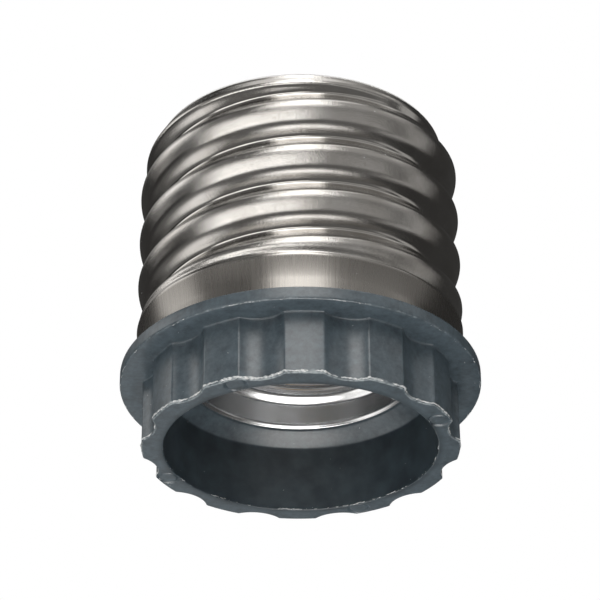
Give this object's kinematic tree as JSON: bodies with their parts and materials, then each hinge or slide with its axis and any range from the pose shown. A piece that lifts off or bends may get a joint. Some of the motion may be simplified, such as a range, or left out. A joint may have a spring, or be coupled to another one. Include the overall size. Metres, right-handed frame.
{
  "type": "lamp socket adapter",
  "caption": "Lamp socket reducer: rolled metal screw shell above a dark moulded collar with fluted grip and flange, smaller threaded socket inside its mouth.",
  "frame": {"origin": "centre of the mouth's lip plane", "axes": "+Z along the socket's axis, from the mouth up to the contact end; the pictured side faces -Y"},
  "size_m": [0.0428, 0.0428, 0.049],
  "materials": {
    "moulding": "moulded, matt",
    "nickel": "nickel plated, satin",
    "brass": "plain",
    "steel": "zinc plated"
  },
  "bodies": {
    "holder": {"insulating_body": "moulding", "e40_screw_shell": "nickel", "e27_inner_shell": "nickel", "centre_rivet": "brass", "end_contact": "nickel", "link_strip": "brass", "shell_screw_right": "steel", "shell_screw_left": "steel"},
    "tongue": {"centre_contact_tongue": "brass"}
  },
  "joints": [
    {"name": "tongue_flex", "type": "hinge", "parent": "holder", "child": "tongue", "pos_m": [-0.00345, 0, 0.0346], "axis": [0, -1, 0], "range_deg": [0, 12], "stiffness_Nm_per_rad": 0.25, "deforming": ["centre_contact_tongue"]}
  ]
}
